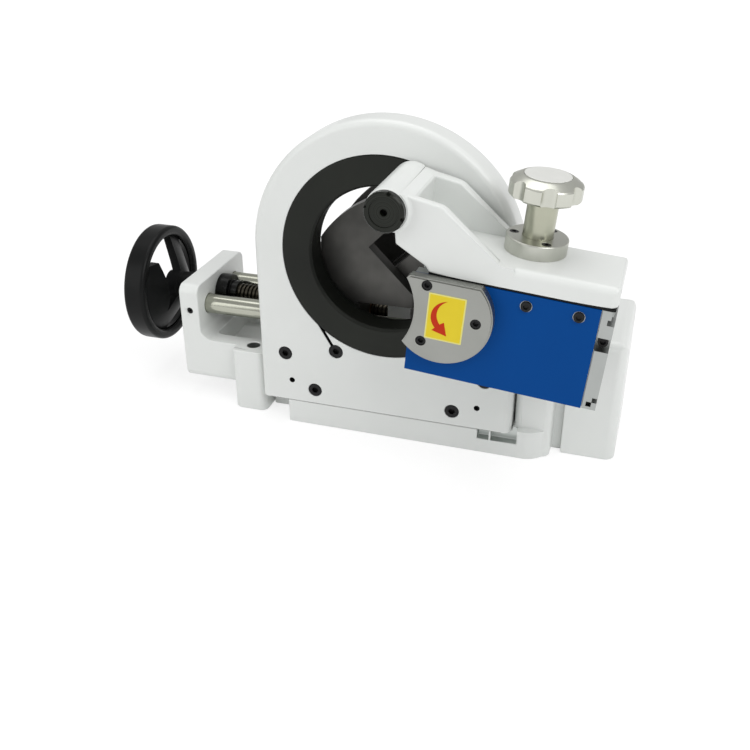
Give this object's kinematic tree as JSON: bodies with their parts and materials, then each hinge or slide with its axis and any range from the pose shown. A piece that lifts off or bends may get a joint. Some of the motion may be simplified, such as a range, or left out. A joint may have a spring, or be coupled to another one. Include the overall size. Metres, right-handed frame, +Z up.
{
  "type": "pipe beveling machine",
  "caption": "Bench pipe cutting and beveling machine: self-centring V-jaw vice with handwheel, arched housing with an orbiting ring, and a swing-arm saw head with a feed knob.",
  "frame": {"origin": "centre of the four bench bolt holes, at the bench face", "axes": "+X along the vice screw towards the end block, +Y along the pipe away from the operator, +Z up"},
  "size_m": [0.604, 0.28, 0.37],
  "materials": {
    "paint_white": "light grey-white machine enamel, satin",
    "ring_black": "charcoal burnished steel with an oil film",
    "black_oxide": "black oxide",
    "machined_steel": "ground and milled",
    "chrome_rod": "hard chrome, polished",
    "satin_aluminium": "satin turned",
    "blue_plate": "deep blue enamel, satin",
    "bronze": "turned bearing bronze",
    "jaw_steel": "hardened, dark",
    "wheel_plastic": "black moulded phenolic",
    "blade_steel": "ground saw steel"
  },
  "bodies": {
    "base": {"base_casting": "paint_white", "bed_floor": "paint_white", "end_block": "paint_white", "front_housing": "paint_white", "housing_bolts": "black_oxide", "dowel_pins": "machined_steel", "ring_lock_screw": "black_oxide", "guide_rods": "chrome_rod", "rod_set_screws": "black_oxide", "screw_bushes": "bronze", "screw_centre_block": "paint_white", "centre_block_screws": "black_oxide"},
    "vice_screw": {"lead_screw": "black_oxide", "thrust_collar": "black_oxide", "handwheel": "wheel_plastic", "wheel_set_screw": "machined_steel"},
    "left_jaw": {"left_carriage": "jaw_steel", "left_jaw_nut": "bronze", "left_vee_plates": "jaw_steel", "left_jaw_screws": "black_oxide"},
    "right_jaw": {"right_carriage": "jaw_steel", "right_jaw_nut": "bronze", "right_vee_plates": "jaw_steel", "right_jaw_screws": "black_oxide"},
    "ring": {"orbit_ring": "ring_black", "ring_retainer": "ring_black", "retainer_screws": "black_oxide", "pivot_pin": "machined_steel", "pivot_nut": "black_oxide"},
    "arm": {"arm_casting": "paint_white", "pivot_bushes": "bronze", "slide_strip": "black_oxide", "slide_rail": "machined_steel", "rail_screws": "black_oxide", "knob_flange": "satin_aluminium", "flange_screws": "black_oxide"},
    "tool": {"tool_block": "machined_steel", "face_plate": "blue_plate", "face_screws": "black_oxide", "cover_plate": "satin_aluminium", "cover_screws": "black_oxide", "feed_rack": "machined_steel", "rack_screws": "black_oxide", "pinch_screw": "black_oxide", "spindle_bearings": "machined_steel", "worm_bearings": "machined_steel"},
    "feed": {"feed_shaft": "machined_steel", "feed_knob": "satin_aluminium", "knob_cap": "satin_aluminium"},
    "spindle": {"spindle": "machined_steel", "worm_wheel": "bronze", "blade_flange": "machined_steel", "saw_blade": "blade_steel", "blade_nut": "black_oxide"},
    "worm": {"worm_shaft": "machined_steel"}
  },
  "joints": [
    {"name": "left_jaw_slide", "type": "slide", "parent": "base", "child": "left_jaw", "axis": [1, 0, 0], "range_m": [-0.086, 0.008]},
    {"name": "right_jaw_slide", "type": "slide", "parent": "base", "child": "right_jaw", "axis": [1, 0, 0], "range_m": [-0.008, 0.086]},
    {"name": "vice_screw_turn", "type": "hinge", "parent": "base", "child": "vice_screw", "pos_m": [0, 0, 0.1185], "axis": [1, 0, 0], "range_deg": [-577, 6193]},
    {"name": "orbit", "type": "hinge", "parent": "base", "child": "ring", "pos_m": [0, 0, 0.22], "axis": [0, 1, 0], "continuous": true},
    {"name": "arm_swing", "type": "hinge", "parent": "ring", "child": "arm", "pos_m": [0.03352, 0, 0.31209], "axis": [0, 1, 0], "range_deg": [-15, 10]},
    {"name": "tool_slide", "type": "slide", "parent": "arm", "child": "tool", "axis": [0.9962, 0, -0.0872], "range_m": [-0.03, 0.02]},
    {"name": "feed_turn", "type": "hinge", "parent": "arm", "child": "feed", "pos_m": [0.169, -0.1275, 0.30024], "axis": [0.0872, 0, 0.9962], "range_deg": [-215, 143.5]},
    {"name": "spindle_spin", "type": "hinge", "parent": "tool", "child": "spindle", "pos_m": [0.09321, -0.152, 0.21185], "axis": [0, 1, 0], "continuous": true},
    {"name": "worm_spin", "type": "hinge", "parent": "tool", "child": "worm", "pos_m": [0.12201, -0.159, 0.1762], "axis": [0.9962, 0, -0.0872], "continuous": true}
  ],
  "couplings": [
    {"joint": "right_jaw_slide", "follows": "left_jaw_slide", "ratio": -1},
    {"joint": "vice_screw_turn", "follows": "left_jaw_slide", "rad_per_m": -1256.6},
    {"joint": "feed_turn", "follows": "tool_slide", "rad_per_m": 125},
    {"joint": "worm_spin", "follows": "spindle_spin", "ratio": 24}
  ]
}
